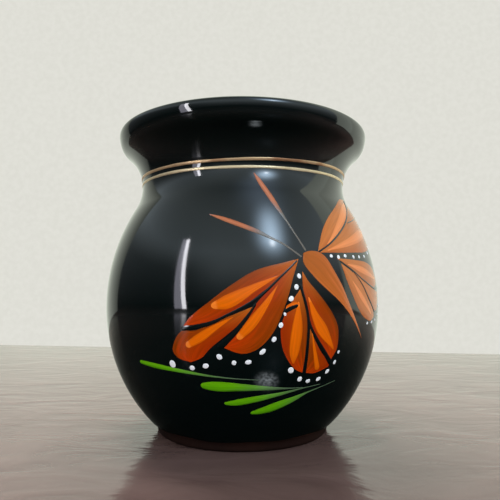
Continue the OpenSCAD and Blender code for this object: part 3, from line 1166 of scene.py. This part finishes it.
def firedClay(name):
    clay = clayFinish[name]
    finish = {"Roughness": clay["gloss"], "Specular IOR Level": clayFinish["specular"]}
    material, tree, shader = newMaterial(name, finish)
    place = objectPlace(tree)
    clouds = addNoise(tree, place, clayFinish["cloudScale"], detail=5.0)
    colour = addRamp(tree, clouds, clay["tones"])
    sand = addSpecks(tree, place, clay["sandScale"], clayFinish["sandSize"])
    grain = addNoise(tree, place, clay["grainScale"], detail=4.0, roughness=0.7)
    feed(tree, shader, {
        "Base Color": addMix(tree, sand, colour, clay["sand"]),
        "Normal": addBump(tree, grain, clayFinish["bump"], clayFinish["grainDepth"]),
    })
    return material


glazeFinish = {
    "tones": [(0.3, (0.20, 0.052, 0.016)), (0.7, (0.36, 0.115, 0.036))],
    "poolScale": 38.0,
    "iron": (0.07, 0.02, 0.008),
    "ironScale": 260.0,
    "ironSize": 0.14,
    "coat": 0.6,
}


def clearGlaze():
    material, tree, shader = newMaterial("amberGlaze", {"Coat Weight": glazeFinish["coat"]})
    place = objectPlace(tree)
    pool = addNoise(tree, place, glazeFinish["poolScale"], detail=5.0)
    iron = addSpecks(tree, place, glazeFinish["ironScale"], glazeFinish["ironSize"])
    gloss = useGroup(tree, glossCoat, {"Low": 0.08, "High": 0.2, "Ripple": 0.08})
    colour = addRamp(tree, pool, glazeFinish["tones"])
    feed(tree, shader, {
        "Base Color": addMix(tree, iron, colour, glazeFinish["iron"]),
        "Roughness": gloss["Roughness"],
        "Normal": gloss["Normal"],
    })
    return material


def dress(piece, material):
    piece.data.materials.clear()
    piece.data.materials.append(material)


enamel = blackEnamel()
for piece in (enamelCoat, handleCoat, wingLines):
    dress(piece, enamel)
dress(goldUpper, goldPaint("copperGold"))
dress(goldLower, goldPaint("brightGold"))
strokePieces = [wingBase, wingShine, farBase, farShine, butterflyBody, feelers, leaves]
for piece, paintName in zip(strokePieces, strokePaints):
    dress(piece, strokePaint(paintName))
dress(whiteDots, whitePaint())
dress(footRing, firedClay("shadedBareClay"))
dress(glazeLiner, clearGlaze())
terracotta = firedClay("terracotta")
for nodeName in ("belly_left_half", "belly_right_half", "neck_collar", "handle"):
    dress(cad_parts[nodeName], terracotta)
print("materials given")

# what each piece rides on, stands for and takes its finish from
pieceTable = [
    (enamelCoat, "black_enamel", "enamel_body"),
    (handleCoat, "black_enamel", "enamel_handle"),
    (goldUpper, "gold_line", "gold_band_upper"),
    (goldLower, "gold_line", "gold_band_lower"),
    (footRing, "bare_clay", "foot_ring"),
    (glazeLiner, "clear_glaze", "glaze_liner"),
    (wingBase, "orange_paint", None),
    (wingShine, "orange_paint", None),
    (farBase, "orange_paint", None),
    (farShine, "orange_paint", None),
    (wingLines, "black_enamel", None),
    (butterflyBody, "orange_paint", None),
    (feelers, "orange_paint", None),
    (leaves, "green_paint", None),
    (whiteDots, "white_paint", None),
]
for piece, slotName, node in pieceTable:
    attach(piece, "root")
    if node:
        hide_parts(node)
print("pieces placed,", len(pieceTable))

# table and walls, in metres
stageSet = {
    "tableBack": 0.225,
    "tableSkew": -0.17,
    "tableFront": -3.0,
    "tableHalf": 3.0,
    "wallPlace": 0.32,
    "wallLeft": -0.62,
    "wallRight": 0.9,
    "sideFront": -0.05,
    "wallLow": -0.9,
    "wallHigh": 2.4,
}


def stagePlane(name, corners):
    deselectAll()
    bpy.ops.mesh.primitive_plane_add(size=2, location=(0, 0, 0))
    plane = bpy.context.object
    namePiece(plane, name)
    for vertex in plane.data.vertices:
        column = 1 if vertex.co.x > 0 else 0
        row = 1 if vertex.co.y > 0 else 0
        vertex.co = corners[row][column]
    return plane


def stageWall(name, start, end):
    heights = (stageSet["wallLow"], stageSet["wallHigh"])
    return stagePlane(name, [[(*start, up), (*end, up)] for up in heights])


tableHalf = stageSet["tableHalf"]
tableFront = stageSet["tableFront"]
skew = stageSet["tableSkew"] * tableHalf
table = stagePlane("table", [
    [(-tableHalf, tableFront, 0), (tableHalf, tableFront, 0)],
    [(-tableHalf, stageSet["tableBack"] - skew, 0), (tableHalf, stageSet["tableBack"] + skew, 0)],
])
wallLeft, wallRight, wallPlace = stageSet["wallLeft"], stageSet["wallRight"], stageSet["wallPlace"]
backWall = stageWall("back_wall", (wallLeft, wallPlace), (wallRight, wallPlace))
sideWall = stageWall("side_wall", (wallRight, wallPlace), (wallRight, stageSet["sideFront"]))

# a thin rippled film on the table; mirrored rays see it darker near the mug and toward the front left, a
# painted shadow, and they see one painted glint of the lamp, a speckled patch that glows for them only
tableFilm = {
    "tones": [(0.3, (0.122, 0.072, 0.062)), (0.7, (0.178, 0.110, 0.094))],
    "foldScale": 26.0,
    "foldStretch": (1.0, 2.2, 1.0),
    "foldTurn": (0, 0, 0.35),
    "foldDepth": 2.0 * mm,
    "foldBump": 0.25,
    "ior": 1.55,
    "dullAt": (0.4, 0.6),    # metres from the mug
    "dullness": (0.12, 0.7),
    "mirrorShadowTone": (0.01, 0.01, 0.008),
    "mirrorAt": (0.09, 0.25),
    "mirrorNear": 0.95,
    "mirrorSide": (-0.1, 0.3),
    "mirrorFar": (0.75, 0.1),
    "shine": 0.42,
    "shineLost": 0.38,
    "glintPlace": (15.5 * mm, -62.5 * mm, 0),
    "glintReach": 10 * mm,
    "glintColour": (0.86, 0.95, 1.0),
    "glintSpeckleScale": 520.0,
    "glintSpeckles": (0.4, 0.68),
    "sparkle": (0.5, 5.0),
}
film, tree, shader = newMaterial("tableFilm", {"IOR": tableFilm["ior"]})
rays = addNode(tree, "ShaderNodeLightPath").outputs
place = objectPlace(tree)
folding = {"Vector": place, "Scale": tableFilm["foldStretch"], "Rotation": tableFilm["foldTurn"]}
foldPlace = addNode(tree, "ShaderNodeMapping", folding).outputs["Vector"]
folds = addNoise(tree, foldPlace, tableFilm["foldScale"], detail=4.0, distortion=1.2)
parts = splitPlace(tree, place)
fromMug = addVectorMath(tree, "LENGTH", {0: place})["Value"]
toSide = addMath(tree, "ADD", parts["X"], parts["Y"])
# painted shadow for mirrored rays: strong near the mug, and past that stronger toward the front left
farMirrorShadow = addRange(tree, toSide, *tableFilm["mirrorSide"], *tableFilm["mirrorFar"])
closeMirrorShadow = addRange(tree, fromMug, *tableFilm["mirrorAt"], tableFilm["mirrorNear"], farMirrorShadow)
mirrorShadow = addMath(tree, "MULTIPLY", rays["Is Glossy Ray"], closeMirrorShadow)
shineLost = addMath(tree, "MULTIPLY", rays["Is Glossy Ray"], tableFilm["shineLost"])
# painted glint: a speckled patch of the film that glows for mirrored rays only, where the lamp would shine in
# it
fromGlint = addVectorMath(tree, "DISTANCE", {0: place, 1: tableFilm["glintPlace"]})["Value"]
spot = addRange(tree, fromGlint, tableFilm["glintReach"], 0.0, smooth=True)
glintSpeckles = addNoise(tree, place, tableFilm["glintSpeckleScale"])
sparkle = addRange(tree, glintSpeckles, *tableFilm["glintSpeckles"], *tableFilm["sparkle"])
glint = addMath(tree, "MULTIPLY", addMath(tree, "MULTIPLY", spot, sparkle), rays["Is Glossy Ray"])
feed(tree, shader, {
    "Base Color": addMix(tree, mirrorShadow, addRamp(tree, folds, tableFilm["tones"]), tableFilm["mirrorShadowTone"]),
    "Roughness": addRange(tree, fromMug, *tableFilm["dullAt"], *tableFilm["dullness"]),
    "Specular IOR Level": addMath(tree, "SUBTRACT", tableFilm["shine"], shineLost),
    "Emission Color": tableFilm["glintColour"],
    "Emission Strength": glint,
    "Normal": addBump(tree, folds, tableFilm["foldBump"], tableFilm["foldDepth"]),
})
dress(table, film)

# pale walls that glow: the camera sees their plain tone, and mirrored rays see painted daylight, with painted
# shade at the back wall's left end
wallFinish = {
    "tones": [(0.35, (0.725, 0.72, 0.66)), (0.65, (0.755, 0.75, 0.69))],
    "grainScale": 190.0,
    "gloss": 0.9,
    "shadeEnd": -0.2,    # the back wall is in shade from its left end to here
    "shadeTone": (0.30, 0.32, 0.28),
    "dayTone": (0.88, 0.94, 0.81),
    "sideTone": (0.74, 0.735, 0.675),
    "sunTone": (1.08, 1.17, 1.02),
}
wallPlaster, tree, shader = newMaterial("wallPlaster", {"Roughness": wallFinish["gloss"]})
place = objectPlace(tree)
tone = addRamp(tree, addNoise(tree, place, wallFinish["grainScale"]), wallFinish["tones"])
feed(tree, shader, {"Base Color": tone})
toRight = addRange(tree, splitPlace(tree, place)["X"], wallLeft, wallFinish["shadeEnd"])
mirrored = addMix(tree, toRight, wallFinish["shadeTone"], wallFinish["dayTone"])
rays = addNode(tree, "ShaderNodeLightPath").outputs
shown = addMix(tree, rays["Is Camera Ray"], mirrored, tone)
glow = addNode(tree, "ShaderNodeEmission", {"Color": shown, "Strength": 1.0})
seen = addMath(tree, "MAXIMUM", rays["Is Camera Ray"], rays["Is Glossy Ray"])
seen = addMath(tree, "MAXIMUM", seen, rays["Is Transmission Ray"])
blend = addNode(tree, "ShaderNodeMixShader", {0: seen, 1: shader.outputs[0], 2: glow.outputs[0]})
feed(tree, tree.nodes["Material Output"], {"Surface": blend.outputs[0]})
dress(backWall, wallPlaster)

# the side wall glows with painted sunlight for every ray but the camera's, so it also lights the mug
sunlitWall = bpy.data.materials.new("sunlitWall")
sunlitWall.use_nodes = True
tree = sunlitWall.node_tree
rays = addNode(tree, "ShaderNodeLightPath").outputs
shown = addMix(tree, rays["Is Camera Ray"], wallFinish["sunTone"], wallFinish["sideTone"])
glow = addNode(tree, "ShaderNodeEmission", {"Color": shown, "Strength": 1.0})
feed(tree, tree.nodes["Material Output"], {"Surface": glow.outputs[0]})
dress(sideWall, sunlitWall)
print("table and walls set")

# soft light: the room itself, a tall window at the left, a fill lamp and a lamp above
roomLight = {
    "skyLevels": [
        (0.0, (0.02, 0.02, 0.02)),
        (0.49, (0.04, 0.04, 0.04)),
        (0.52, (0.14, 0.145, 0.15)),
        (0.59, (0.30, 0.33, 0.35)),
        (0.68, (0.62, 0.70, 0.74)),
        (0.76, (0.78, 0.90, 0.97)),
        (0.87, (0.55, 0.62, 0.64)),
        (1.0, (0.16, 0.17, 0.17)),
    ],
    "leftShade": 0.75,
    "shadeTone": (0.03, 0.03, 0.03),
    "shadeAcross": (-0.25, -0.85),
    "shadeUp": (0.52, 0.30, 0.3),
    "glows": [    # turn and rise in degrees, how narrow, colour
        (28.0, 41.0, 94.0, (6.4, 8.6, 11.0)),
        (28.0, 37.5, 1500.0, (9.0, 9.3, 9.6)),
        (28.0, 60.0, 30.0, (0.6, 0.8, 1.1)),
    ],
    "windowLow": -0.03,
    "windowHigh": 0.76,
    "windows": [    # name, turn and lean in degrees, how far, how wide, power, colour
        ("window", -48.0, 10.0, 0.98, 0.056, 1.9, (0.96, 0.95, 1.0)),
        ("curtain", -51.6, 6.5, 1.0, 0.11, 0.75, (0.86, 0.84, 1.0)),
    ],
    "lamps": [    # name, place, size, power
        ("fill", (0.42, -0.88, 0.15), 1.2, 6.0),
        ("top", (-0.10, 0.24, 0.66), 0.4, 7.0),
    ],
    "lampAim": (0, 0, 0.05),
}


def directionOf(turnDegrees, riseDegrees):
    turn, rise = math.radians(turnDegrees), math.radians(riseDegrees)
    return Vector((math.sin(turn) * math.cos(rise), -math.cos(turn) * math.cos(rise), math.sin(rise)))


world = bpy.data.worlds.new("room")
scene.world = world
world.use_nodes = True
tree = world.node_tree
facing = addNode(tree, "ShaderNodeTexCoord").outputs["Generated"]
parts = splitPlace(tree, facing)
sky = addRamp(tree, addRange(tree, parts["Z"], -1.0, 1.0), roomLight["skyLevels"])
leftSide = addRange(tree, parts["X"], *roomLight["shadeAcross"], smooth=True)
lowSide = addRange(tree, parts["Z"], *roomLight["shadeUp"], smooth=True)
shade = addMath(tree, "MULTIPLY", addMath(tree, "MULTIPLY", leftSide, lowSide), roomLight["leftShade"])
sky = addMix(tree, shade, sky, roomLight["shadeTone"])
for turn, rise, narrow, colour in roomLight["glows"]:
    toLamp = addVectorMath(tree, "DOT_PRODUCT", {0: facing, 1: directionOf(turn, rise)})["Value"]
    lobe = addMath(tree, "POWER", addMath(tree, "MAXIMUM", toLamp, 0.0), narrow)
    sky = addVectorMath(tree, "ADD", {0: sky, 1: addMix(tree, lobe, (0.0, 0.0, 0.0), colour)})[0]
feed(tree, tree.nodes["Background"], {"Color": sky})


def addAreaLight(name, place, aim, sizes, power, colour, lean, mirrored):
    data = bpy.data.lights.new(name, "AREA")
    data.shape = "RECTANGLE"
    data.size, data.size_y = sizes
    data.energy = power
    data.color = colour
    lamp = bpy.data.objects.new(name, data)
    lamp.location = place
    turned = (Vector(aim) - Vector(place)).to_track_quat("-Z", "Y").to_matrix().to_euler()
    turned.rotate_axis("Z", math.radians(lean))
    lamp.rotation_euler = turned
    lamp.visible_glossy = mirrored
    lamp.visible_camera = False
    scene.collection.objects.link(lamp)


windowMiddle = (roomLight["windowLow"] + roomLight["windowHigh"]) / 2
windowTall = roomLight["windowHigh"] - roomLight["windowLow"]
for name, turn, lean, far, wide, power, colour in roomLight["windows"]:
    place = directionOf(turn, 0) * far
    place.z = windowMiddle
    addAreaLight(name, place, (0, 0, windowMiddle), (wide, windowTall), power, colour, lean, True)
for name, place, size, power in roomLight["lamps"]:
    addAreaLight(name, place, roomLight["lampAim"], (size, size), power, (1, 1, 1), 0.0, False)
print("light set")
